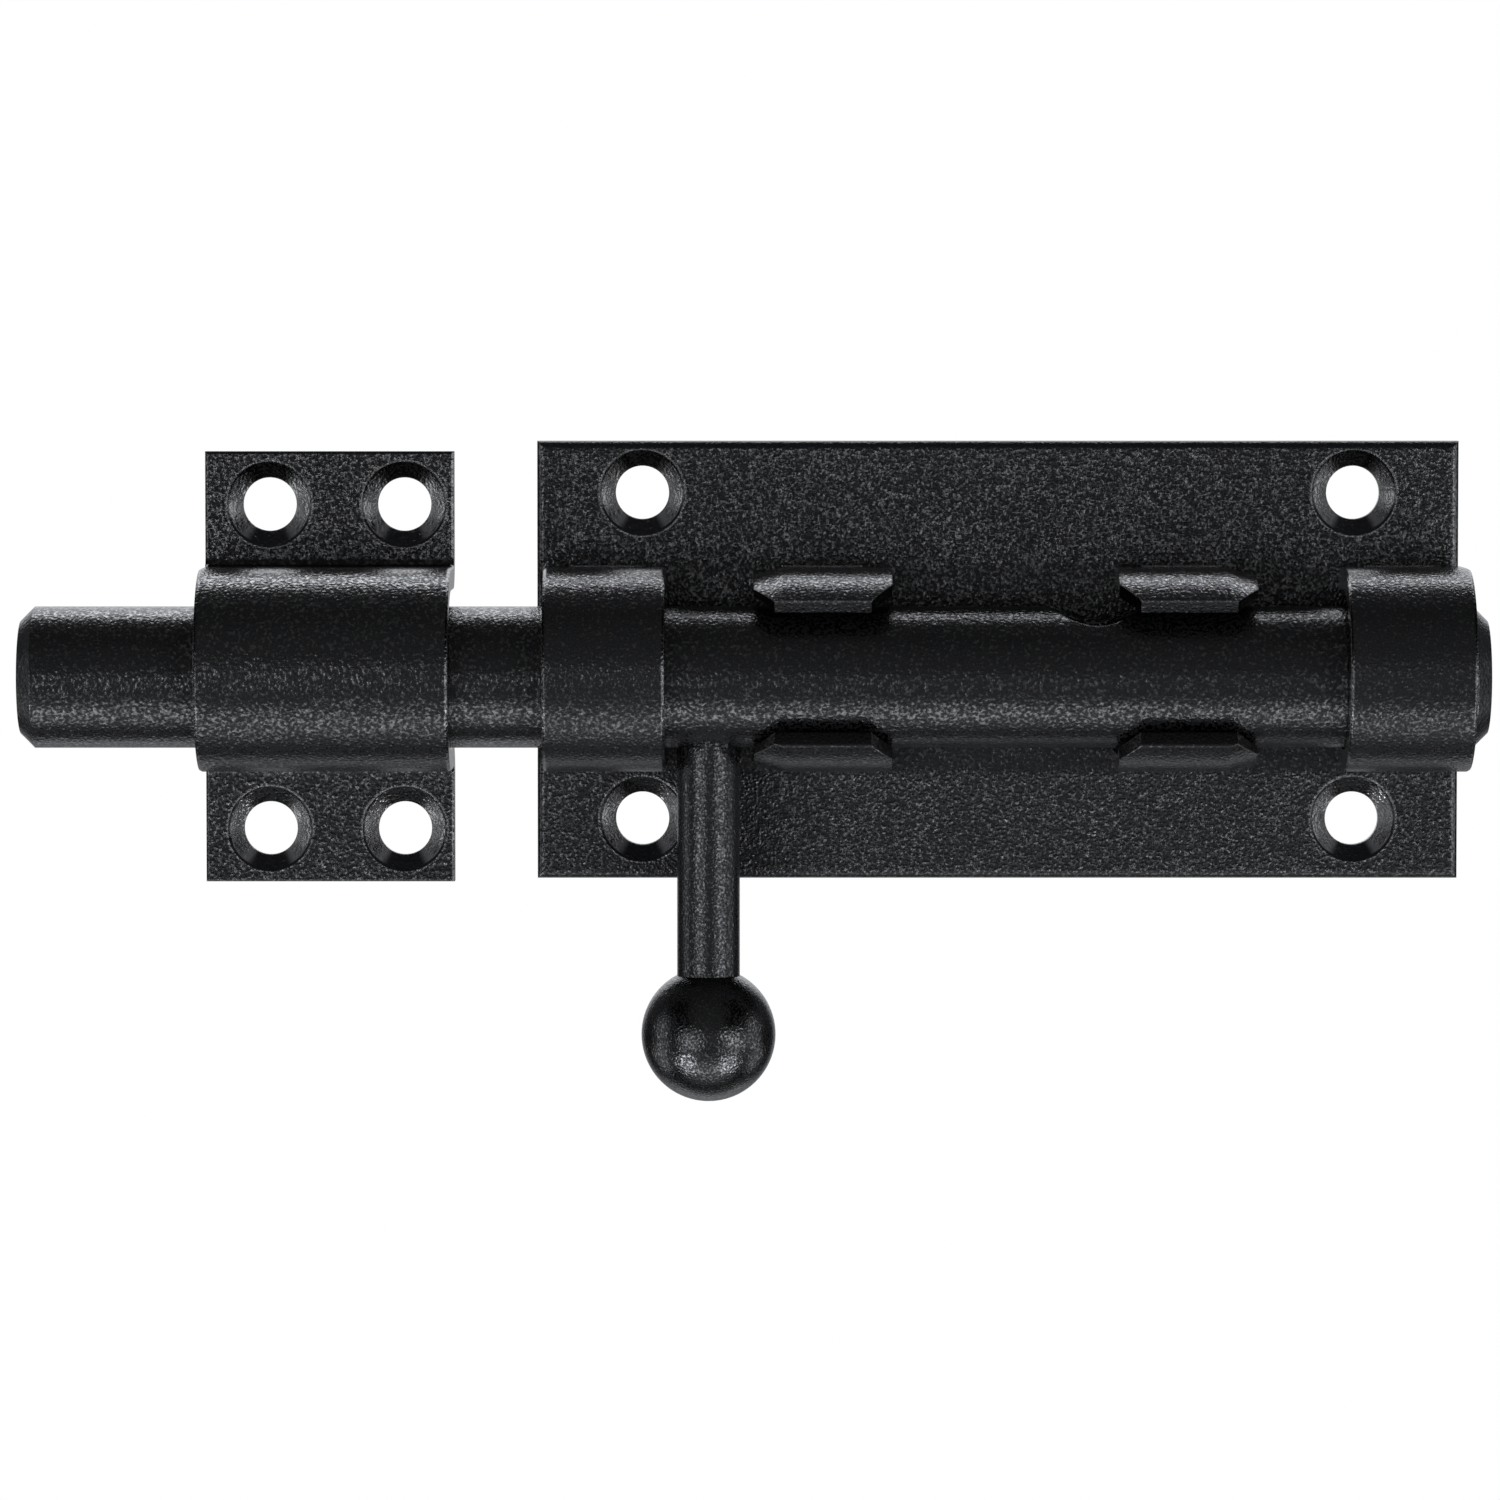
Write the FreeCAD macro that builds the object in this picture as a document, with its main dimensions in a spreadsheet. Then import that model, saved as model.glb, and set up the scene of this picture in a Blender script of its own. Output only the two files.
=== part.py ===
"""Sliding round bolt for a door or gate, with its keeper, locked as it hangs on the door.

Millimetres. X runs along the bolt, towards its tail. Z is up. The front of the bolt faces -Y.
The origin is the middle of the main plate's four screw holes, on the face that lies on the door.
"""
import FreeCAD, Part
import math
import os
import Sketcher

SIZES = (
    ("plate_length", 105.2, "main plate, along the bolt"),
    ("plate_height", 50.0, "main plate, across the bolt"),
    ("plate_thick", 3.0, "main plate"),
    ("plate_drop", 0.45, "middle of the main plate below the middle of its screw holes"),
    ("plate_lift", 0.8, "middle of the main plate above the middle of the straps"),
    ("plate_hole_margin", 12.0, "middle of each screw hole from the main plate's end"),
    ("screw_hole", 6.1, "diameter of every screw hole"),
    ("screw_sink", 9.8, "diameter of every countersink at the front face"),
    ("sink_angle", 90.0, "full angle of the countersinks"),
    ("edge_round", 1.0, "rounded front edges of the main plate"),
    ("strap_bore", 9.0, "inner radius of the straps, the keeper and the lugs' bend"),
    ("strap_thick", 2.5, "straps"),
    ("front_strap_width", 13.7, "front strap, along the bolt"),
    ("rear_strap_width", 14.2, "rear strap, along the bolt"),
    ("front_inset", 1.0, "front strap from the main plate's front end"),
    ("rear_overhang", 0.4, "rear strap past the main plate's rear end"),
    ("rim_wide", 0.3, "cut outer edges of the straps and the keeper, on the outer face"),
    ("rim_deep", 0.16, "the same cut, into the thickness"),
    ("strap_tenon", 8.0, "tenons of the straps, along the bolt"),
    ("slot_play", 0.1, "slots longer and wider than the tenons in them"),
    ("lug_length", 15.6, "each stop lug, along the bolt"),
    ("lug_thick", 2.0, "stop lugs"),
    ("lug_turn", 45.0, "angle that the lugs bend over the bar"),
    ("lug_corner_along", 2.4, "cut corner at a lug's tip, along the bolt"),
    ("lug_corner_deep", 2.8, "cut corner at a lug's tip, down its end"),
    ("lug_round", 0.3, "rounded arris round a lug's tip"),
    ("lug_bevel_along", 3.2, "bevel on a lug's outer face at the handle's end, along the bolt"),
    ("lug_bevel_deep", 0.8, "the same bevel, into the lug's end"),
    ("lug_tenon", 9.0, "tenons of the lugs, along the bolt"),
    ("front_gap", 10.0, "from the front strap to the front lugs, where the handle locks"),
    ("rear_gap", 10.0, "from the rear lugs to the rear strap, where the handle parks"),
    ("bar_width", 16.0, "diameter of the bar"),
    ("bar_floor_gap", 0.5, "main plate to the bar"),
    ("bar_rest_gap", 0.2, "coating play under the bar where it lies in the straps"),
    ("nose_reach", 58.1, "bar past the main plate's front end"),
    ("tail_reach", 2.4, "bar past the main plate's rear end"),
    ("bar_chamfer", 1.6, "both ends of the bar"),
    ("seat_width", 10.6, "blind round seat in the bar's upper side"),
    ("seat_at", 10.8, "that seat from the middle of the main plate"),
    ("seat_floor", 1.0, "floor of that seat above the bar's axis"),
    ("rod_width", 7.1, "diameter of the handle rod"),
    ("handle_shift", -0.1, "handle from the middle of the gap where it locks"),
    ("rod_root_gap", 0.3, "rod's saddle from the bar"),
    ("ball_width", 15.2, "diameter of the ball"),
    ("ball_reach", 40.5, "middle of the ball from the bar's axis"),
    ("ball_socket", 5.0, "depth of the rod in the ball"),
    ("ball_play", 0.05, "wall of that socket from the rod"),
    ("keeper_width", 28.4, "keeper, along the bolt"),
    ("keeper_flange", 12.1, "flat part of each flange of the keeper, across the bolt"),
    ("keeper_thick", 2.5, "keeper sheet"),
    ("keeper_bend", 1.0, "inner radius of the keeper's two foot bends"),
    ("keeper_gap", 9.5, "from the keeper to the main plate"),
    ("keeper_nose_margin", 7.3, "middle of a screw hole from the keeper's end at the bar's nose"),
    ("keeper_tail_margin", 5.7, "middle of a screw hole from the keeper's other end"),
)

doc = FreeCAD.newDocument("padbolt")
sheet = doc.addObject("Spreadsheet::Sheet", "Sizes")
for row, (alias, value, note) in enumerate(SIZES, start=1):
    sheet.set(f"A{row}", note)
    sheet.set(f"B{row}", str(value))
    sheet.setAlias(f"B{row}", alias)
doc.recompute()

# Places that follow from the sizes, as expressions of the sheet's cells
LINE_OUT = "(Sizes.plate_thick + Sizes.bar_floor_gap + Sizes.bar_width / 2)"
LINE_UP = "(-Sizes.plate_drop - Sizes.plate_lift)"
STRAP_OUTER = "(Sizes.strap_bore + Sizes.strap_thick)"
LUG_BORE = f"({STRAP_OUTER} - Sizes.lug_thick)"
KEEPER_OUTER = "(Sizes.strap_bore + Sizes.keeper_thick)"
PLATE_PITCH_ALONG = "(Sizes.plate_length - 2 * Sizes.plate_hole_margin)"
PLATE_PITCH_ACROSS = f"(Sizes.plate_height / 2 + {STRAP_OUTER} + Sizes.plate_lift)"
FRONT_STRAP_END = "(-Sizes.plate_length / 2 + Sizes.front_inset + Sizes.front_strap_width)"
REAR_STRAP_END = "(Sizes.plate_length / 2 + Sizes.rear_overhang - Sizes.rear_strap_width)"
FRONT_STRAP_AT = f"({FRONT_STRAP_END} - Sizes.front_strap_width / 2)"
REAR_STRAP_AT = f"({REAR_STRAP_END} + Sizes.rear_strap_width / 2)"
FRONT_LUG_AT = f"({FRONT_STRAP_END} + Sizes.front_gap + Sizes.lug_length / 2)"
REAR_LUG_AT = f"({REAR_STRAP_END} - Sizes.rear_gap - Sizes.lug_length / 2)"
HANDLE_AT = f"({FRONT_STRAP_END} + Sizes.front_gap / 2 + Sizes.handle_shift)"
BAR_SAG = "(Sizes.strap_bore - Sizes.bar_width / 2 - Sizes.bar_rest_gap)"
BAR_UP = f"({LINE_UP} - {BAR_SAG})"
BAR_LENGTH = "(Sizes.nose_reach + Sizes.plate_length + Sizes.tail_reach)"
BAR_AT = "((Sizes.tail_reach - Sizes.nose_reach) / 2)"
KEEPER_AT = "(-Sizes.plate_length / 2 - Sizes.keeper_gap - Sizes.keeper_width / 2)"
KEEPER_FOOT = f"({KEEPER_OUTER} + Sizes.keeper_bend)"
KEEPER_END = f"({KEEPER_FOOT} + Sizes.keeper_flange)"
KEEPER_PITCH_ACROSS = f"(2 * {KEEPER_FOOT} + Sizes.keeper_flange)"
KEEPER_PITCH_ALONG = "(Sizes.keeper_width - Sizes.keeper_nose_margin - Sizes.keeper_tail_margin)"
KEEPER_HOLES_SHIFT = "((Sizes.keeper_nose_margin - Sizes.keeper_tail_margin) / 2)"

TINY = 1e-4


def size(expression):
    """The number that an expression of the sheet's cells gives now."""
    return float(doc.Sizes.evalExpression(expression.replace("Sizes.", "")))


def new_body(name, at, out="0", up="0"):
    """An empty body at its place: at along X, out from the door, up along Z."""
    body = doc.addObject("PartDesign::Body", name)
    body.Label = name
    body.setExpression("Placement.Base.x", at)
    body.setExpression("Placement.Base.y", f"-({out})")
    body.setExpression("Placement.Base.z", up)
    return body


def new_sketch(body, name, plane, offset=None):
    """A sketch on one of the body's own planes, moved along its normal by offset."""
    sketch = body.newObject("Sketcher::SketchObject", name)
    support = [item for item in body.Origin.OriginFeatures if item.Role == plane]
    sketch.AttachmentSupport = [(support[0], "")]
    sketch.MapMode = "FlatFace"
    if offset:
        sketch.setExpression("AttachmentOffset.Base.z", offset)
    return sketch


def bind(sketch, kind, geometry, place, expression, axis_line=None):
    """Ties a point of the sketch to a distance from the sketch's origin."""
    value = size(expression)
    if abs(value) < TINY:
        sketch.addConstraint(Sketcher.Constraint("PointOnObject", geometry, place, axis_line))
    elif value > 0:
        index = sketch.addConstraint(Sketcher.Constraint(kind, -1, 1, geometry, place, value))
        sketch.setExpression(f"Constraints[{index}]", expression)
    else:
        index = sketch.addConstraint(Sketcher.Constraint(kind, geometry, place, -1, 1, -value))
        sketch.setExpression(f"Constraints[{index}]", f"-({expression})")


def bind_point(sketch, geometry, place, point):
    """Ties a point to the pair of expressions that gives its place."""
    bind(sketch, "DistanceX", geometry, place, point[0], -2)
    bind(sketch, "DistanceY", geometry, place, point[1], -1)


def outline(sketch, corners):
    """A closed outline. Each corner is (x, y, arc to the next corner or None), and an arc is its
    middle's (x, y) and its radius, all expressions."""
    points = [FreeCAD.Vector(size(x), size(y), 0) for x, y, arc in corners]
    ends = []
    for index, (x, y, arc) in enumerate(corners):
        start = points[index]
        stop = points[(index + 1) % len(points)]
        if arc is None:
            geometry = sketch.addGeometry(Part.LineSegment(start, stop), False)
            ends.append((geometry, 1, 2))
            continue
        middle = FreeCAD.Vector(size(arc[0]), size(arc[1]), 0)
        radius = size(arc[2])
        first = math.atan2(start.y - middle.y, start.x - middle.x)
        last = math.atan2(stop.y - middle.y, stop.x - middle.x)
        forward = (last - first) % (2 * math.pi) < math.pi
        low, high = (first, last) if forward else (last, first)
        circle = Part.Circle(middle, FreeCAD.Vector(0, 0, 1), radius)
        geometry = sketch.addGeometry(Part.ArcOfCircle(circle, low, high), False)
        ends.append((geometry, 1, 2) if forward else (geometry, 2, 1))
    for index, (geometry, start, stop) in enumerate(ends):
        following, following_start, following_stop = ends[(index + 1) % len(ends)]
        meeting = Sketcher.Constraint("Coincident", geometry, stop, following, following_start)
        sketch.addConstraint(meeting)
        bind_point(sketch, geometry, start, corners[index][:2])
        arc = corners[index][2]
        if arc is not None:
            radius = Sketcher.Constraint("Radius", geometry, size(arc[2]))
            sketch.setExpression(f"Constraints[{sketch.addConstraint(radius)}]", arc[2])


def rectangle(sketch, left, right, low, high):
    """A rectangle between four expressions."""
    outline(sketch, ((left, low, None), (right, low, None), (right, high, None), (left, high, None)))


def circle(sketch, x, y, diameter):
    """A circle at a place, of a diameter, all expressions."""
    middle = FreeCAD.Vector(size(x), size(y), 0)
    ring = Part.Circle(middle, FreeCAD.Vector(0, 0, 1), size(diameter) / 2)
    geometry = sketch.addGeometry(ring, False)
    bind_point(sketch, geometry, 3, (x, y))
    index = sketch.addConstraint(Sketcher.Constraint("Diameter", geometry, size(diameter)))
    sketch.setExpression(f"Constraints[{index}]", diameter)


def pad(body, sketch, name, length, midplane=False, reverse=False):
    feature = body.newObject("PartDesign::Pad", name)
    feature.Profile = sketch
    feature.setExpression("Length", length)
    feature.Midplane = midplane
    feature.Reversed = reverse
    doc.recompute()
    return feature


def pocket(body, sketch, name, midplane=False, reverse=False):
    """Cuts the sketch through all that lies on its side of the plane."""
    before = body.Shape.Volume
    feature = body.newObject("PartDesign::Pocket", name)
    feature.Profile = sketch
    feature.Type = "ThroughAll"
    feature.Midplane = midplane
    feature.Reversed = reverse
    doc.recompute()
    if not body.Shape.Volume < before - TINY:
        raise RuntimeError(f"{name} cuts nothing")
    return feature


def screw_holes(body, name, pitch_along, pitch_across, thick, shift="0", lift="0"):
    """Four countersunk holes from the front face, in a rectangle whose middle lies beside the
    body's by shift and above it by lift."""
    places = new_sketch(body, f"{name}_places", "XZ_Plane", thick)
    for along in (-1, 1):
        for across in (-1, 1):
            x = f"({shift} + {along} * {pitch_along} / 2)"
            z = f"({lift} + {across} * {pitch_across} / 2)"
            circle(places, x, z, "Sizes.screw_hole")
    doc.recompute()
    before = body.Shape.Volume
    feature = body.newObject("PartDesign::Hole", name)
    feature.Profile = places
    doc.recompute()
    feature.Threaded = False
    feature.DepthType = "ThroughAll"
    feature.setExpression("Diameter", "Sizes.screw_hole")
    feature.HoleCutType = "Countersink"
    feature.HoleCutCustomValues = True
    feature.setExpression("HoleCutDiameter", "Sizes.screw_sink")
    feature.setExpression("HoleCutCountersinkAngle", "Sizes.sink_angle")
    doc.recompute()
    if not body.Shape.Volume < before - TINY:
        raise RuntimeError(f"{name} cuts nothing")


def round_edges(body, name, radius, wanted):
    """Rounds the edges of the body that the test named wanted picks."""
    base = body.Tip
    names = [f"Edge{n}" for n, edge in enumerate(base.Shape.Edges, start=1) if wanted(edge)]
    feature = body.newObject("PartDesign::Fillet", name)
    feature.Base = (base, names)
    feature.setExpression("Radius", radius)
    doc.recompute()
    return feature


def cut_edges(body, name, first, second, wanted, flip=False):
    """Chamfers the picked edges, by one size on each of the two faces that meet there."""
    base = body.Tip
    names = [f"Edge{n}" for n, edge in enumerate(base.Shape.Edges, start=1) if wanted(edge)]
    feature = body.newObject("PartDesign::Chamfer", name)
    feature.Base = (base, names)
    feature.ChamferType = "Two distances"
    feature.FlipDirection = flip
    feature.setExpression("Size", first)
    feature.setExpression("Size2", second)
    doc.recompute()
    return feature


def lies_on(edge, direction, value):
    """True where the whole edge keeps one coordinate, such as y = value."""
    box = edge.BoundBox
    low = getattr(box, direction.upper() + "Min")
    high = getattr(box, direction.upper() + "Max")
    return abs(low - value) < TINY * 100 and abs(high - value) < TINY * 100


def base_plate():
    """The flat main plate: slots for the straps and lugs, and four countersunk holes."""
    body = new_body("base_plate", "0", up="(-Sizes.plate_drop)")
    face = new_sketch(body, "plate_face", "XZ_Plane")
    rectangle(face, "-Sizes.plate_length / 2", "Sizes.plate_length / 2",
              "-Sizes.plate_height / 2", "Sizes.plate_height / 2")
    pad(body, face, "plate_sheet", "Sizes.plate_thick")
    front = -size("Sizes.plate_thick")
    round_edges(body, "plate_edges", "Sizes.edge_round", lambda edge: lies_on(edge, "y", front))
    slots = new_sketch(body, "plate_slots", "XZ_Plane")
    play = "Sizes.slot_play / 2"
    rows = (
        (FRONT_STRAP_AT, "Sizes.strap_tenon", "Sizes.strap_bore"),
        (REAR_STRAP_AT, "Sizes.strap_tenon", "Sizes.strap_bore"),
        (FRONT_LUG_AT, "Sizes.lug_tenon", LUG_BORE),
        (REAR_LUG_AT, "Sizes.lug_tenon", LUG_BORE),
    )
    line = "(-Sizes.plate_lift)"
    for at, tenon, inner in rows:
        left = f"({at} - {tenon} / 2 - {play})"
        right = f"({at} + {tenon} / 2 + {play})"
        rectangle(slots, left, right, f"({line} + {inner} - {play})",
                  f"({line} + {STRAP_OUTER} + {play})")
        rectangle(slots, left, right, f"({line} - {STRAP_OUTER} - {play})",
                  f"({line} - {inner} + {play})")
    pocket(body, slots, "plate_slot_cut", reverse=True)
    screw_holes(body, "plate_screw_holes", PLATE_PITCH_ALONG, PLATE_PITCH_ACROSS,
                "Sizes.plate_thick", lift="Sizes.plate_drop")
    return body


def arch_half(inner, outer, foot):
    """Half an arch, from its foot to its crown and back along the bore, as corners."""
    crown_out = f"(-{LINE_OUT} - {outer})"
    crown_in = f"(-{LINE_OUT} - {inner})"
    middle = f"(-{LINE_OUT})"
    return (
        (f"(-{foot})", outer, None),
        (middle, outer, (middle, "0", outer)),
        (crown_out, "0", None),
        (crown_in, "0", (middle, "0", inner)),
        (middle, inner, None),
        (f"(-{foot})", inner, None),
    )


def mirror(body, feature, name):
    """Repeats a feature below the bolt's line."""
    copy = body.newObject("PartDesign::Mirrored", name)
    copy.Originals = [feature]
    plane = [item for item in body.Origin.OriginFeatures if item.Role == "XY_Plane"]
    copy.MirrorPlane = (plane[0], [""])
    body.Tip = copy
    doc.recompute()
    return copy


def strap(name, at, width):
    """A bent strap over the bar, whose two tenons go through the main plate."""
    body = new_body(name, at, up=LINE_UP)
    half = new_sketch(body, f"{name}_half", "YZ_Plane")
    outline(half, arch_half("Sizes.strap_bore", STRAP_OUTER, "Sizes.plate_thick"))
    bend = pad(body, half, f"{name}_bend", width, midplane=True)
    mirror(body, bend, f"{name}_both_legs")
    outer = size(STRAP_OUTER)
    line = -size(LINE_OUT)
    foot = -size("Sizes.plate_thick")

    def outer_rim(edge):
        """An outer edge at either side of the strap, up the legs and over the crown."""
        box = edge.BoundBox
        flat = box.XLength < TINY
        point = edge.valueAt((edge.FirstParameter + edge.LastParameter) / 2)
        from_line = math.hypot(point.y - line, point.z)
        on_arch = abs(from_line - outer) < TINY * 100
        on_leg = abs(abs(point.z) - outer) < TINY * 100
        return flat and (on_arch or on_leg) and not lies_on(edge, "y", foot)

    cut_edges(body, f"{name}_rims", "Sizes.rim_wide", "Sizes.rim_deep", outer_rim)
    tenons = new_sketch(body, f"{name}_tenon_face", "XZ_Plane")
    rectangle(tenons, "-Sizes.strap_tenon / 2", "Sizes.strap_tenon / 2",
              "Sizes.strap_bore", STRAP_OUTER)
    rectangle(tenons, "-Sizes.strap_tenon / 2", "Sizes.strap_tenon / 2",
              f"-{STRAP_OUTER}", "-Sizes.strap_bore")
    pad(body, tenons, f"{name}_tenons", "Sizes.plate_thick")
    return body


def lug(name, at, lower, handle_end):
    """A stop lug: a tab with cut corners, bent over the bar as far as lug_turn. Its outer face is
    bevelled at the end where the handle stands, which is handle_end times its own X."""
    body = new_body(name, at, up=LINE_UP)
    if lower:
        body.Placement.Rotation = FreeCAD.Rotation(FreeCAD.Vector(0, 1, 0), 180)
    profile = new_sketch(body, f"{name}_profile", "YZ_Plane")
    middle = f"(-{LINE_OUT})"
    sine = "sin(Sizes.lug_turn * 1deg)"
    cosine = "cos(Sizes.lug_turn * 1deg)"
    outline(profile, (
        ("(-Sizes.plate_thick)", STRAP_OUTER, None),
        (middle, STRAP_OUTER, (middle, "0", STRAP_OUTER)),
        (f"({middle} - {STRAP_OUTER} * {sine})", f"({STRAP_OUTER} * {cosine})", None),
        (f"({middle} - {LUG_BORE} * {sine})", f"({LUG_BORE} * {cosine})", (middle, "0", LUG_BORE)),
        (middle, LUG_BORE, None),
        ("(-Sizes.plate_thick)", LUG_BORE, None),
    ))
    pad(body, profile, f"{name}_tab", "Sizes.lug_length", midplane=True)
    half = size("Sizes.lug_length") / 2
    line = -size(LINE_OUT)
    turn = math.radians(size("Sizes.lug_turn"))
    outer = size(STRAP_OUTER)

    def outer_end(edge):
        """The outer face's edge up the end of the tab where the handle stands."""
        box = edge.BoundBox
        point = edge.valueAt((edge.FirstParameter + edge.LastParameter) / 2)
        on_arch = abs(math.hypot(point.y - line, point.z) - outer) < TINY * 100
        on_leg = abs(point.z - outer) < TINY * 100
        at_end = box.XLength < TINY and abs(point.x - handle_end * half) < TINY * 100
        return at_end and (on_arch or on_leg)

    cut_edges(body, f"{name}_bevel", "Sizes.lug_bevel_along", "Sizes.lug_bevel_deep", outer_end)

    def tip_corner(edge):
        """A short edge across the sheet, at either end of the tip."""
        box = edge.BoundBox
        point = edge.valueAt((edge.FirstParameter + edge.LastParameter) / 2)
        angle = math.atan2(line - point.y, point.z)
        return box.XLength < TINY and abs(angle - turn) < TINY * 100

    cut_edges(body, f"{name}_corners", "Sizes.lug_corner_deep", "Sizes.lug_corner_along", tip_corner)

    def tip_arris(edge):
        """The long edge between the outer face and the tip's end face."""
        first, last = (edge.valueAt(end) for end in (edge.FirstParameter, edge.LastParameter))
        at_tip = all(abs(math.hypot(end.y - line, end.z) - outer) < TINY * 100
                     and abs(math.atan2(line - end.y, end.z) - turn) < TINY * 100
                     for end in (first, last))
        return at_tip and abs(first.x - last.x) > TINY

    round_edges(body, f"{name}_arris", "Sizes.lug_round", tip_arris)
    tenon = new_sketch(body, f"{name}_tenon_face", "XZ_Plane")
    rectangle(tenon, "-Sizes.lug_tenon / 2", "Sizes.lug_tenon / 2", LUG_BORE, STRAP_OUTER)
    pad(body, tenon, f"{name}_tenon", "Sizes.plate_thick")
    return body


def bar():
    """The round bar, chamfered at both ends, with a blind seat in its upper side."""
    body = new_body("bar", BAR_AT, LINE_OUT, BAR_UP)
    section = new_sketch(body, "bar_section", "YZ_Plane")
    circle(section, "0", "0", "Sizes.bar_width")
    pad(body, section, "bar_round", BAR_LENGTH, midplane=True)
    cut_edges(body, "bar_ends", "Sizes.bar_chamfer", "Sizes.bar_chamfer",
              lambda edge: edge.BoundBox.XLength < TINY)
    seat = new_sketch(body, "bar_seat_face", "XY_Plane", "Sizes.seat_floor")
    circle(seat, f"(Sizes.seat_at - {BAR_AT})", "0", "Sizes.seat_width")
    pocket(body, seat, "bar_seat", reverse=True)
    return body


def handle_rod():
    """The handle's rod, whose upper end is hollowed to the bar's round."""
    body = new_body("handle_rod", HANDLE_AT, LINE_OUT, BAR_UP)
    section = new_sketch(body, "rod_section", "XY_Plane")
    circle(section, "0", "0", "Sizes.rod_width")
    length = "(Sizes.ball_reach - Sizes.ball_width / 2 + Sizes.ball_socket)"
    pad(body, section, "rod_round", length, reverse=True)
    saddle = new_sketch(body, "rod_saddle_face", "YZ_Plane")
    circle(saddle, "0", "0", "(Sizes.bar_width + 2 * Sizes.rod_root_gap)")
    pocket(body, saddle, "rod_saddle", midplane=True)
    return body


def handle_ball():
    """The ball, with a blind socket for the rod."""
    body = new_body("handle_ball", HANDLE_AT, LINE_OUT, f"({BAR_UP} - Sizes.ball_reach)")
    ball = body.newObject("PartDesign::AdditiveSphere", "ball_round")
    ball.setExpression("Radius", "Sizes.ball_width / 2")
    doc.recompute()
    socket = new_sketch(body, "ball_socket_face", "XY_Plane", "(Sizes.ball_width / 2 - Sizes.ball_socket)")
    circle(socket, "0", "0", "(Sizes.rod_width + 2 * Sizes.ball_play)")
    pocket(body, socket, "ball_socket", reverse=True)
    return body


def keeper():
    """The keeper: one strip bent over the bar, with a drilled flange above and below."""
    body = new_body("keeper", KEEPER_AT, up=LINE_UP)
    half = new_sketch(body, "keeper_half", "YZ_Plane")
    middle = f"(-{LINE_OUT})"
    sheet_face = "(-Sizes.keeper_thick)"
    bend_out = "(-Sizes.keeper_thick - Sizes.keeper_bend)"
    bend_up = KEEPER_FOOT
    end = KEEPER_END
    outline(half, (
        (sheet_face, end, None),
        (sheet_face, bend_up, (bend_out, bend_up, "Sizes.keeper_bend")),
        (bend_out, KEEPER_OUTER, None),
        (middle, KEEPER_OUTER, (middle, "0", KEEPER_OUTER)),
        (f"({middle} - {KEEPER_OUTER})", "0", None),
        (f"({middle} - Sizes.strap_bore)", "0", (middle, "0", "Sizes.strap_bore")),
        (middle, "Sizes.strap_bore", None),
        (bend_out, "Sizes.strap_bore", (bend_out, bend_up, "(Sizes.keeper_bend + Sizes.keeper_thick)")),
        ("0", bend_up, None),
        ("0", end, None),
    ))
    bend = pad(body, half, "keeper_bend", "Sizes.keeper_width", midplane=True)
    mirror(body, bend, "keeper_both_flanges")
    outer = size(KEEPER_OUTER)
    line = -size(LINE_OUT)
    front = -size("Sizes.keeper_thick")
    foot = -size("Sizes.keeper_thick + Sizes.keeper_bend")
    side = size("Sizes.keeper_width") / 2
    reach = size(KEEPER_END)

    def front_rim(edge):
        """An edge of the front face at either side, from flange to flange, or at a flange's end."""
        box = edge.BoundBox
        point = edge.valueAt((edge.FirstParameter + edge.LastParameter) / 2)
        at_side = box.XLength < TINY and abs(abs(point.x) - side) < TINY * 100
        on_arch = abs(math.hypot(point.y - line, point.z) - outer) < TINY * 100
        on_leg = abs(abs(point.z) - outer) < TINY * 100
        on_flange = abs(point.y - front) < TINY * 100 and box.YLength < TINY
        in_foot = foot < point.y < front - TINY and box.ZLength > TINY and box.YLength > TINY
        inner_foot = in_foot and abs(point.z) < outer
        at_end = on_flange and abs(abs(point.z) - reach) < TINY * 100
        return at_end or (at_side and (on_arch or on_leg or on_flange or (in_foot and not inner_foot)))

    cut_edges(body, "keeper_edges", "Sizes.rim_wide", "Sizes.rim_deep", front_rim)
    screw_holes(body, "keeper_screw_holes", KEEPER_PITCH_ALONG, KEEPER_PITCH_ACROSS,
                "Sizes.keeper_thick", shift=KEEPER_HOLES_SHIFT)
    return body


pieces = [
    base_plate(),
    strap("front_strap", FRONT_STRAP_AT, "Sizes.front_strap_width"),
    strap("rear_strap", REAR_STRAP_AT, "Sizes.rear_strap_width"),
    lug("front_lug_upper", FRONT_LUG_AT, False, -1),
    lug("front_lug_lower", FRONT_LUG_AT, True, 1),
    lug("rear_lug_upper", REAR_LUG_AT, False, 1),
    lug("rear_lug_lower", REAR_LUG_AT, True, -1),
    bar(),
    handle_rod(),
    handle_ball(),
    keeper(),
]
doc.recompute()

for item in doc.Objects:
    if "Invalid" in item.State or "Error" in item.State:
        raise RuntimeError(f"{item.Name} failed: {item.State}")
for piece in pieces:
    if piece.Shape.isNull() or not piece.Shape.isValid() or len(piece.Shape.Solids) != 1:
        raise RuntimeError(f"{piece.Label} is not one valid solid")

os.makedirs("parts", exist_ok=True)
for piece in pieces:
    piece.Shape.exportStep(f"parts/{piece.Label}.step")
    box = piece.Shape.BoundBox
    print(f"{piece.Label}: {piece.Shape.Volume:.1f} mm3, X {box.XMin:.2f} to {box.XMax:.2f}, "
          f"Y {box.YMin:.2f} to {box.YMax:.2f}, Z {box.ZMin:.2f} to {box.ZMax:.2f}")
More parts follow.
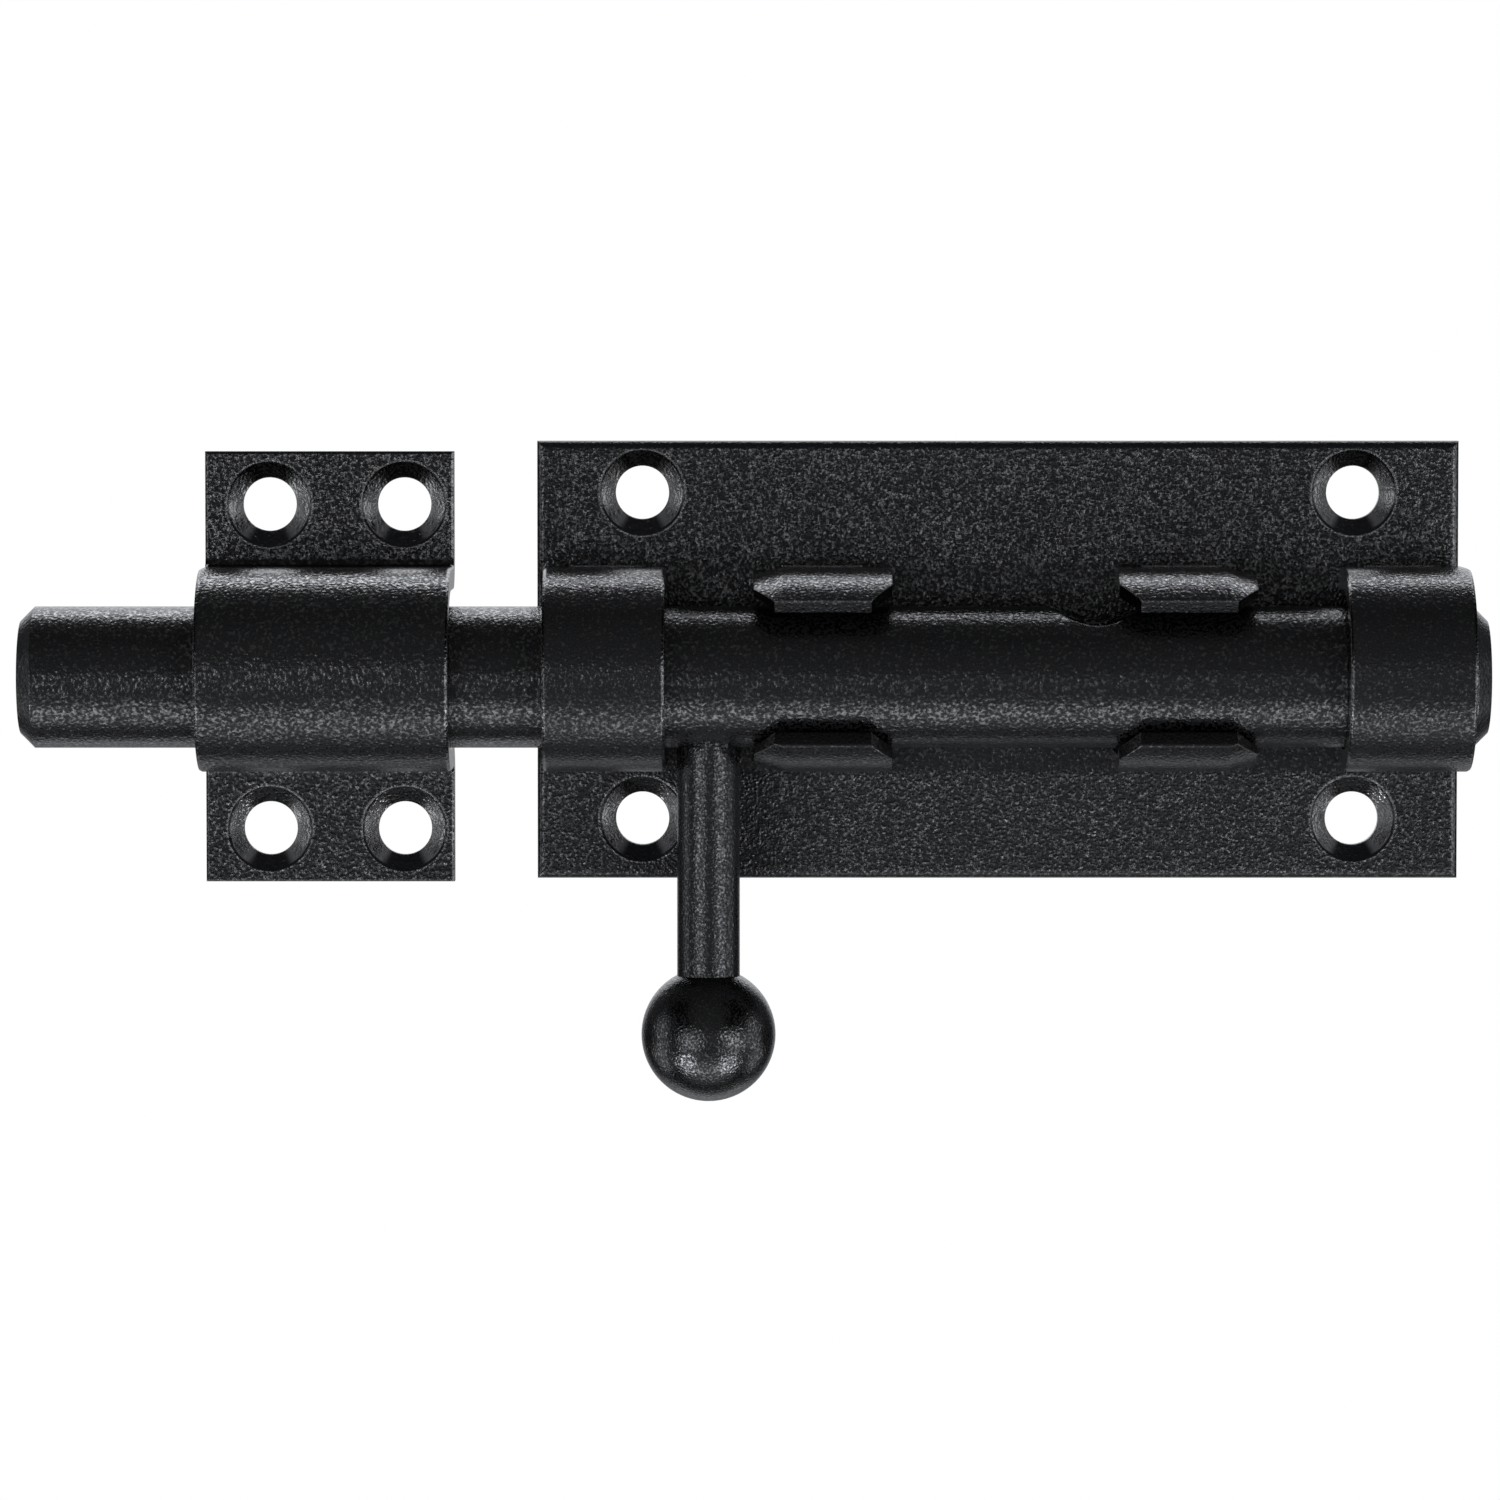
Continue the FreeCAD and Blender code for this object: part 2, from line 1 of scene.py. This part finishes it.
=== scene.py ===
"""Dresses the sliding round bolt: black powder coat, the weld under the bar, camera and light."""
import math
import bpy
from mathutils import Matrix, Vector


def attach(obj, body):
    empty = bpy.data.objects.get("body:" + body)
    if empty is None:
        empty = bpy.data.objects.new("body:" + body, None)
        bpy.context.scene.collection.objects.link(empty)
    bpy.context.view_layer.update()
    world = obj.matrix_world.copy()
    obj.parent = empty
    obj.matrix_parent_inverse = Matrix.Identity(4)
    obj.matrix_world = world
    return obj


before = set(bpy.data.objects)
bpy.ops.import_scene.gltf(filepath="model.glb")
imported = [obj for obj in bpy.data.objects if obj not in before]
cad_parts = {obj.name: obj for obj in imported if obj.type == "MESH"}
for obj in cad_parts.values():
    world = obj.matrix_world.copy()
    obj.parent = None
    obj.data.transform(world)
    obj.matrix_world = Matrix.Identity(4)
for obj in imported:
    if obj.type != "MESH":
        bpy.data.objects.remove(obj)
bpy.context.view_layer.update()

MM = 0.001

# Places of the bolt, in metres
BAR_OUT = -11.5 * MM
BAR_UP = -2.05 * MM
BAR_ROUND = 8.0 * MM
ROD_AT = -33.0 * MM
ROD_ROUND = 3.55 * MM
STRAP_LINE = -1.25 * MM
# How far above and below that line the flats of plate and keeper start, and how softly
FLATS_FROM = 12.0 * MM
FLATS_SOFT = 0.5 * MM
# Where the screw holes are on the plate and on the keeper: the middle of the four along X and Z, and
# half their distances
HOLES = (
    (0.0, 0.0, 40.6 * MM, 18.65 * MM),
    (-75.5 * MM, STRAP_LINE, 7.7 * MM, 18.55 * MM),
)
# From a hole's axis: where its countersink ends and how softly, and the ring of painted highlight round
# it, with half its width where it starts and where it is full
CONE = 4.6 * MM
CONE_SOFT = 0.08 * MM
RIM = 4.97 * MM
RIM_WIDE = (0.16 * MM, 0.05 * MM)
# The heights where the sheet's gloss has its lower and its upper share, painted shade low and painted
# light high on the object
SHADE_HEIGHTS = (-14 * MM, 14 * MM)

COAT_BLACK = (0.011, 0.0115, 0.0130, 1)
FLECK_GREY = (0.168, 0.168, 0.168, 1)
# Painted highlight: the colour that the countersinks' sideways sides are painted
CONE_HIGHLIGHT_GREY = (0.46, 0.46, 0.46, 1)
SPECULAR = 0.15
# The gloss at which the colour is all FLECK_GREY, and how fast the metal look rises with gloss
FULL_GLOSS = 2.1
FLAKE_RISE = 1.8
# The radius that edges are shaded with, and the rays for it
EDGE_ROUND = 0.22 * MM
EDGE_RAYS = 4
# How much deeper the grain gets on flats, in times its own depth
FLAT_GRAIN = 2.0

# Where a share starts and where it is full. Rounded edges, which carry a painted highlight, go by the
# cosine between their normal and the face's, faces that turn sideways by the size of X in their normal,
# level ones by Y, raised ones by Z.
EDGE_BEND = (0.99, 0.94)
END_TURN = (0.40, 0.60)
SIDE_TURN = (0.12, 0.45)
CONE_TURN = (0.30, 0.58)
LEVEL = (0.90, 0.99)
RAISED_TURN = (0.10, 0.35)
# The painted highlight, as gloss added on sideways faces and on rims, and the share of the gloss that is
# left where painted shade dulls the ends and the flats' raised edges
SIDE_HIGHLIGHT = 0.7
RIM_HIGHLIGHT = 1.6
END_SHADE_LEFT = 0.25
RAISED_SHADE_LEFT = 0.1

# The grain is an orange peel with beads pressed in, and flecks on the peel's tops
PEEL_DETAIL = 2.0
PEEL_ROUGHNESS = 0.55
BEADS_SOFT = 0.6
BEADS_SHARE = -0.6
FLECKS = (0.38, 0.70)
FLECKS_POWER = 2.0

# Each coat: the size and depth of its grain, its roughness, its gloss in the flecks and between them, for
# sheet the shares of that gloss low and high on the object, which paint shade low and light high, and
# whether its sideways ends get painted shade
COATS = {
    "sheet_coat": (0.36 * MM, 0.06 * MM, 0.19, (2.2, 0.09), (0.83, 1.13), False),
    "keeper_coat": (0.40 * MM, 0.065 * MM, 0.18, (3.0, 0.07), (0.77, 1.34), False),
    "bar_coat": (0.40 * MM, 0.06 * MM, 0.18, (2.9, 0.07), None, True),
    "rod_coat": (0.30 * MM, 0.05 * MM, 0.20, (1.9, 0.14), None, False),
    "ball_coat": (0.28 * MM, 0.04 * MM, 0.15, (2.4, 0.20), None, False),
    "weld_coat": (0.30 * MM, 0.12 * MM, 0.18, (2.2, 0.09), None, False),
}
# The CAD nodes that don't get the sheet coat
OWN_COATS = {
    "keeper": "keeper_coat",
    "bar": "bar_coat",
    "handle_rod": "rod_coat",
    "handle_ball": "ball_coat",
}
# The colour sockets of a mix node, whose names its other kinds of socket share
MIX_SHARE, MIX_FIRST, MIX_SECOND, MIX_RESULT = 0, 6, 7, 2

# The weld bead: its length along the rod, how far it stands out of the bar and sinks in, its soft toe
# and the size of its mesh
WELD_LONG = 6 * MM
WELD_OUT = 1.3 * MM
WELD_IN = 0.35 * MM
WELD_TOE = 0.5 * MM
TOE_STEPS = 3
TOE_ANGLE = 50
WELD_MESH = 0.11 * MM
# The size and height of its lumps
WELD_LUMPS = ((1.3 * MM, 0.45 * MM), (0.5 * MM, 0.16 * MM))
ROD_SIDES = 64
CUTTER_SIDES = 160
CUTTER_LONG = 16 * MM

BRIGHTEST = 7.0
# Degrees up from the front, over the top and down the back, and how bright the studio is there
AROUND = (
    (-180, 0.45), (-152, 0.25), (-143, 0.60), (-133, 0.85), (-124, 0.58), (-115, 0.10), (-98, 0.04),
    (-84, 0.38), (-74, 1.20), (-58, 1.60), (-41, 0.42), (-22, 0.10), (-3, 0.29), (10, 0.11), (40, 0.12),
    (70, 0.07), (105, 0.15), (113, 0.50), (121, 4.30), (128, 4.80), (137, 2.20), (152, 1.50), (180, 0.70),
)
# That fades towards either side: from where to where, as the size of X in the direction, and the share
# that is left there
FADE_FROM, FADE_TO, FADE_LEFT = 0.36, 0.56, 0.06
LIGHT_TINT = (0.98, 1.0, 1.04)
# Softboxes: degrees to the right and up, half their width and height, soft rim, how bright
SOFTBOXES = (
    (-50, -45, 14, 12, 3, 5.8),
    (50, -45, 14, 12, 3, 5.2),
    (-32, -8, 18, 13, 4, 2.0),
    (46, -8, 20, 13, 4, 2.2),
    (-103, -30, 14, 13, 6, 1.2),
    (103, -30, 14, 13, 6, 1.0),
    (-88, -2, 12, 22, 6, 1.0),
    (88, -2, 12, 22, 6, 1.0),
)

# What the camera looks at, how many degrees it stands above that, how many millimetres away, and
# its lens
AIM = (-28.3 * MM, -3.0 * MM, -10.75 * MM)
EYE_LIFT = 3.0
EYE_AWAY = 850
LENS = 178.5
SENSOR = 36
EYE_NEAR, EYE_FAR = 0.01, 10


def pick(piece):
    """Only this piece is selected and active."""
    bpy.ops.object.select_all(action="DESELECT")
    piece.select_set(True)
    bpy.context.view_layer.objects.active = piece


def joined(tree, operation, first, second=None, third=None):
    """The result of a sum or product of values, some of which may be plain numbers."""
    node = tree.nodes.new("ShaderNodeMath")
    node.operation = operation
    for socket, value in zip(node.inputs, (first, second, third)):
        if value is None:
            continue
        if isinstance(value, (int, float)):
            socket.default_value = value
        else:
            tree.links.new(value, socket)
    return node.outputs[0]


def share_of(tree, value, none, full):
    """A smooth share of 0 to 1 as the value goes from none to full."""
    share = tree.nodes.new("ShaderNodeMapRange")
    share.interpolation_type = "SMOOTHSTEP"
    share.inputs["From Min"].default_value = none
    share.inputs["From Max"].default_value = full
    tree.links.new(value, share.inputs["Value"])
    return share.outputs[0]


def scaled(tree, value, share, low, high):
    """The value times a factor that goes from low to high as the share goes from 0 to 1."""
    return joined(tree, "MULTIPLY", value, joined(tree, "MULTIPLY_ADD", share, high - low, low))


def mixed(tree, share, first, second):
    """A colour between two, by a share of 0 to 1. The first may be another node's."""
    mix = tree.nodes.new("ShaderNodeMix")
    mix.data_type = "RGBA"
    tree.links.new(share, mix.inputs[MIX_SHARE])
    if isinstance(first, tuple):
        mix.inputs[MIX_FIRST].default_value = first
    else:
        tree.links.new(first, mix.inputs[MIX_FIRST])
    mix.inputs[MIX_SECOND].default_value = second
    return mix.outputs[MIX_RESULT]


def split(tree, vector):
    """The X, Y and Z of a vector, as the outputs of a node."""
    parts = tree.nodes.new("ShaderNodeSeparateXYZ")
    tree.links.new(vector, parts.inputs[0])
    return parts.outputs


def coat_grain():
    """The fine orange peel of powder coat: a height in metres, and a mask of its finest flecks."""
    group = bpy.data.node_groups.new("coat_grain", "ShaderNodeTree")
    for name in ("Grain size", "Grain depth"):
        group.interface.new_socket(name=name, in_out="INPUT", socket_type="NodeSocketFloat")
    for name in ("Height", "Flecks"):
        group.interface.new_socket(name=name, in_out="OUTPUT", socket_type="NodeSocketFloat")
    start = group.nodes.new("NodeGroupInput")
    stop = group.nodes.new("NodeGroupOutput")
    place = group.nodes.new("ShaderNodeTexCoord")
    per_metre = joined(group, "DIVIDE", 1.0, start.outputs["Grain size"])
    peel = group.nodes.new("ShaderNodeTexNoise")
    peel.inputs["Detail"].default_value = PEEL_DETAIL
    peel.inputs["Roughness"].default_value = PEEL_ROUGHNESS
    beads = group.nodes.new("ShaderNodeTexVoronoi")
    beads.feature = "SMOOTH_F1"
    beads.inputs["Smoothness"].default_value = BEADS_SOFT
    for texture in (peel, beads):
        group.links.new(place.outputs["Object"], texture.inputs["Vector"])
        group.links.new(per_metre, texture.inputs["Scale"])
    both = joined(group, "MULTIPLY_ADD", beads.outputs["Distance"], BEADS_SHARE, peel.outputs[0])
    height = joined(group, "MULTIPLY", both, start.outputs["Grain depth"])
    group.links.new(height, stop.inputs["Height"])
    flecks = group.nodes.new("ShaderNodeMapRange")
    flecks.inputs["From Min"].default_value = FLECKS[0]
    flecks.inputs["From Max"].default_value = FLECKS[1]
    group.links.new(peel.outputs[0], flecks.inputs["Value"])
    group.links.new(joined(group, "POWER", flecks.outputs[0], FLECKS_POWER), stop.inputs["Flecks"])
    return group


def to_hole(tree, place):
    """How far a point of the sheet is from the axis of the nearest screw hole."""
    nearest = None
    for middle_x, middle_z, half_x, half_z in HOLES:
        square = 0.0
        for side, middle, half in (("X", middle_x, half_x), ("Z", middle_z, half_z)):
            off = joined(tree, "SUBTRACT", place[side], middle)
            off = joined(tree, "SUBTRACT", joined(tree, "ABSOLUTE", off), half)
            square = joined(tree, "MULTIPLY_ADD", off, off, square)
        away = joined(tree, "SQRT", square)
        nearest = away if nearest is None else joined(tree, "MINIMUM", nearest, away)
    return nearest


def edge_rounding_and_highlight(tree, shader, grain, face):
    """Shades edges as rounded, with the grain on top, and gives a mask of them, which carries a painted
    highlight.
    """
    rounded = tree.nodes.new("ShaderNodeBevel")
    rounded.samples = EDGE_RAYS
    rounded.inputs["Radius"].default_value = EDGE_ROUND
    bump = tree.nodes.new("ShaderNodeBump")
    bump.inputs["Strength"].default_value = 1.0
    bump.inputs["Distance"].default_value = 1.0
    tree.links.new(rounded.outputs[0], bump.inputs["Normal"])
    tree.links.new(grain.outputs["Height"], bump.inputs["Height"])
    tree.links.new(bump.outputs["Normal"], shader.inputs["Normal"])
    bend = tree.nodes.new("ShaderNodeVectorMath")
    bend.operation = "DOT_PRODUCT"
    tree.links.new(rounded.outputs[0], bend.inputs[0])
    tree.links.new(face, bend.inputs[1])
    return share_of(tree, bend.outputs["Value"], *EDGE_BEND)


def sheet_shine(tree, grain, depth, facing, sideways, shine, light_by_height):
    """The gloss on sheet, and a mask of painted highlight on its countersinks' sideways sides. The grain
    is deeper on the flats above and below the straps. A painted highlight makes the coat glossier where
    edges and countersinks turn sideways and in a ring round the countersinks, painted shade dulls it
    where the flats' edges turn up, and it is painted darker low and lighter high on the object."""
    point = tree.nodes.new("ShaderNodeTexCoord")
    place = split(tree, point.outputs["Object"])
    from_line = joined(tree, "ABSOLUTE", joined(tree, "SUBTRACT", place["Z"], STRAP_LINE))
    flats = share_of(tree, from_line, FLATS_FROM - FLATS_SOFT, FLATS_FROM + FLATS_SOFT)
    level = share_of(tree, joined(tree, "ABSOLUTE", facing["Y"]), *LEVEL)
    back = share_of(tree, facing["Y"], *LEVEL)
    front = share_of(tree, facing["Y"], -LEVEL[0], -LEVEL[1])
    deeper = joined(tree, "MULTIPLY", joined(tree, "MAXIMUM", flats, back), level)
    deeper = joined(tree, "MULTIPLY_ADD", deeper, FLAT_GRAIN * depth, depth)
    tree.links.new(deeper, grain.inputs["Grain depth"])
    # Painted highlight: faces that turn sideways get added gloss
    sideways_highlight = share_of(tree, sideways, *SIDE_TURN)
    shine = joined(tree, "MULTIPLY_ADD", sideways_highlight, SIDE_HIGHLIGHT, shine)
    away = to_hole(tree, place)
    # Painted highlight: a mask of the countersinks' sideways sides
    cone_highlight = share_of(tree, away, CONE + CONE_SOFT, CONE - CONE_SOFT)
    cone_highlight = joined(tree, "MULTIPLY", cone_highlight, share_of(tree, sideways, *CONE_TURN))
    # Painted highlight: a ring of gloss round each countersink on the front faces
    rim_highlight = joined(tree, "ABSOLUTE", joined(tree, "SUBTRACT", away, RIM))
    rim_highlight = joined(tree, "MULTIPLY", share_of(tree, rim_highlight, *RIM_WIDE), front)
    shine = joined(tree, "MULTIPLY_ADD", rim_highlight, RIM_HIGHLIGHT, shine)
    # Painted shade low and painted light high: the gloss is scaled by height
    shine = scaled(tree, shine, share_of(tree, place["Z"], *SHADE_HEIGHTS), *light_by_height)
    # Painted shade: the flats' faces that turn up keep only a small share of their gloss
    raised_shade = joined(tree, "MULTIPLY", flats, share_of(tree, facing["Z"], *RAISED_TURN))
    return scaled(tree, shine, raised_shade, 1.0, RAISED_SHADE_LEFT), cone_highlight


def black_coat(name, size, depth, roughness, gloss, light_by_height, shaded_ends):
    """Black powder coat, from a row of COATS. With a share of painted shade and light by height it is for
    sheet.
    """
    coat = bpy.data.materials.new(name)
    coat.use_nodes = True
    tree = coat.node_tree
    shader = tree.nodes["Principled BSDF"]
    shader.inputs["Roughness"].default_value = roughness
    shader.inputs["Specular IOR Level"].default_value = SPECULAR
    grain = tree.nodes.new("ShaderNodeGroup")
    grain.node_tree = GRAIN
    grain.inputs["Grain size"].default_value = size
    grain.inputs["Grain depth"].default_value = depth
    surface = tree.nodes.new("ShaderNodeNewGeometry")
    edge_highlight = edge_rounding_and_highlight(tree, shader, grain, surface.outputs["Normal"])
    shine = joined(tree, "MULTIPLY_ADD", grain.outputs["Flecks"], *gloss)
    # Painted highlight: rounded edges get added gloss, which lightens the colour and adds metal
    shine = joined(tree, "ADD", edge_highlight, shine)
    facing = split(tree, surface.outputs["Normal"])
    sideways = joined(tree, "ABSOLUTE", facing["X"])
    # Painted shade: the bar's ends that turn sideways keep only a small share of their gloss
    if shaded_ends:
        shine = scaled(tree, shine, share_of(tree, sideways, *END_TURN), 1.0, END_SHADE_LEFT)
    cone_highlight = None
    if light_by_height:
        shine, cone_highlight = sheet_shine(tree, grain, depth, facing, sideways, shine, light_by_height)
    colour = mixed(tree, joined(tree, "MULTIPLY", shine, 1 / FULL_GLOSS), COAT_BLACK, FLECK_GREY)
    flake = joined(tree, "MULTIPLY", shine, FLAKE_RISE)
    # Painted highlight: the countersinks' sideways sides go to a light grey and to metal
    if cone_highlight is not None:
        colour = mixed(tree, cone_highlight, colour, CONE_HIGHLIGHT_GREY)
        flake = joined(tree, "MAXIMUM", flake, cone_highlight)
    tree.links.new(colour, shader.inputs["Base Color"])
    tree.links.new(joined(tree, "MINIMUM", flake, 1.0), shader.inputs["Metallic"])
    return coat


GRAIN = coat_grain()
coats = {name: black_coat(name, *row) for name, row in COATS.items()}
for node_name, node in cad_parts.items():
    node.data.materials.clear()
    node.data.materials.append(coats[OWN_COATS.get(node_name, "sheet_coat")])


def root_weld(coat):
    """The rough weld bead where the rod's root meets the bar."""
    bpy.ops.mesh.primitive_cylinder_add(vertices=ROD_SIDES, radius=ROD_ROUND, depth=WELD_LONG,
                                        location=(ROD_AT, BAR_OUT, BAR_UP - BAR_ROUND))
    bead = bpy.context.object
    bead.name = "root_weld"
    for name, radius, operation in (
        ("weld_reach", BAR_ROUND + WELD_OUT, "INTERSECT"),
        ("weld_seat", BAR_ROUND - WELD_IN, "DIFFERENCE"),
    ):
        bpy.ops.mesh.primitive_cylinder_add(vertices=CUTTER_SIDES, radius=radius, depth=CUTTER_LONG,
                                            location=(ROD_AT, BAR_OUT, BAR_UP),
                                            rotation=(0, math.pi / 2, 0))
        cutter = bpy.context.object
        cutter.name = name
        pick(bead)
        cut = bead.modifiers.new(name, "BOOLEAN")
        cut.operation = operation
        cut.solver = "EXACT"
        cut.object = cutter
        bpy.ops.object.modifier_apply(modifier=name)
        bpy.data.objects.remove(cutter)
    soft = bead.modifiers.new("weld_toe", "BEVEL")
    soft.width = WELD_TOE
    soft.segments = TOE_STEPS
    soft.limit_method = "ANGLE"
    soft.angle_limit = math.radians(TOE_ANGLE)
    bpy.ops.object.modifier_apply(modifier="weld_toe")
    fine = bead.modifiers.new("weld_mesh", "REMESH")
    fine.mode = "VOXEL"
    fine.voxel_size = WELD_MESH
    bpy.ops.object.modifier_apply(modifier="weld_mesh")
    for size, height in WELD_LUMPS:
        lumps = bpy.data.textures.new("weld_lumps", "CLOUDS")
        lumps.noise_scale = size
        lumps.noise_depth = 1
        rough = bead.modifiers.new("weld_lumps", "DISPLACE")
        rough.texture = lumps
        rough.texture_coords = "LOCAL"
        rough.strength = height
        rough.mid_level = 0.5
        bpy.ops.object.modifier_apply(modifier="weld_lumps")
    bpy.ops.object.transform_apply(location=True, rotation=True, scale=True)
    bpy.ops.object.shade_smooth()
    bead.data.materials.clear()
    bead.data.materials.append(coat)
    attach(bead, "handle")


root_weld(coats["weld_coat"])


def bands(tree, share):
    """The soft run of brightness in AROUND, by a share of 0 to 1 for -180 to 180 degrees."""
    ramp = tree.nodes.new("ShaderNodeValToRGB")
    tree.links.new(share, ramp.inputs["Fac"])
    ramp.color_ramp.interpolation = "EASE"
    stops = ramp.color_ramp.elements
    while len(stops) > 1:
        stops.remove(stops[-1])
    for index, (degrees, bright) in enumerate(AROUND):
        place = (degrees + 180) / 360
        stop = stops[0] if index == 0 else stops.new(place)
        stop.position = place
        stop.color = (bright / BRIGHTEST, bright / BRIGHTEST, bright / BRIGHTEST, 1)
    return ramp.outputs["Color"]


def window(tree, value, middle, half, soft):
    """1 where a value is within half of middle, falling to 0 over soft on both sides."""
    far = joined(tree, "ABSOLUTE", joined(tree, "SUBTRACT", value, middle))
    return share_of(tree, far, half + soft, half - soft)


def studio():
    """White behind the object for the camera, and the studio's light from all sides."""
    world = bpy.data.worlds.new("studio")
    bpy.context.scene.world = world
    world.use_nodes = True
    tree = world.node_tree
    shown = tree.nodes["Background"]
    shown.inputs["Color"].default_value = (1, 1, 1, 1)
    shown.inputs["Strength"].default_value = 1.0
    way = tree.nodes.new("ShaderNodeTexCoord")
    parts = split(tree, way.outputs["Generated"])
    right, up = parts["X"], parts["Z"]
    ahead = joined(tree, "MULTIPLY", parts["Y"], -1.0)
    turn = joined(tree, "ARCTAN2", up, ahead)
    around = bands(tree, joined(tree, "MULTIPLY_ADD", turn, 0.5 / math.pi, 0.5))
    fade = tree.nodes.new("ShaderNodeMapRange")
    fade.inputs["From Min"].default_value = FADE_FROM
    fade.inputs["From Max"].default_value = FADE_TO
    fade.inputs["To Min"].default_value = 1.0
    fade.inputs["To Max"].default_value = FADE_LEFT
    tree.links.new(joined(tree, "ABSOLUTE", right), fade.inputs["Value"])
    total = joined(tree, "MULTIPLY", around, fade.outputs[0])
    aside = joined(tree, "ARCTAN2", right, ahead)
    height = joined(tree, "ARCSINE", up)
    for *angles, bright in SOFTBOXES:
        middle, lift, half_wide, half_high, soft = (math.radians(angle) for angle in angles)
        wide = window(tree, aside, middle, half_wide, soft)
        high = window(tree, height, lift, half_high, soft)
        box = joined(tree, "MULTIPLY", wide, high)
        total = joined(tree, "MULTIPLY_ADD", box, bright / BRIGHTEST, total)
    tint = tree.nodes.new("ShaderNodeVectorMath")
    tint.operation = "SCALE"
    tint.inputs[0].default_value = LIGHT_TINT
    tree.links.new(total, tint.inputs["Scale"])
    lit = tree.nodes.new("ShaderNodeBackground")
    lit.inputs["Strength"].default_value = BRIGHTEST
    tree.links.new(tint.outputs[0], lit.inputs["Color"])
    rays = tree.nodes.new("ShaderNodeLightPath")
    mix = tree.nodes.new("ShaderNodeMixShader")
    tree.links.new(rays.outputs["Is Camera Ray"], mix.inputs["Fac"])
    tree.links.new(lit.outputs[0], mix.inputs[1])
    tree.links.new(shown.outputs[0], mix.inputs[2])
    tree.links.new(mix.outputs[0], tree.nodes["World Output"].inputs["Surface"])


studio()


def camera():
    """Straight on to the plate, a little above it."""
    lift = math.radians(EYE_LIFT)
    back = Vector((0, -math.cos(lift), math.sin(lift)))
    bpy.ops.object.camera_add(location=Vector(AIM) + back * EYE_AWAY * MM,
                              rotation=(math.pi / 2 - lift, 0, 0))
    eye = bpy.context.object
    eye.name = "eye"
    eye.data.lens = LENS
    eye.data.sensor_width = SENSOR
    eye.data.clip_start = EYE_NEAR
    eye.data.clip_end = EYE_FAR
    bpy.context.scene.camera = eye


camera()
bpy.context.scene.view_settings.view_transform = "Standard"
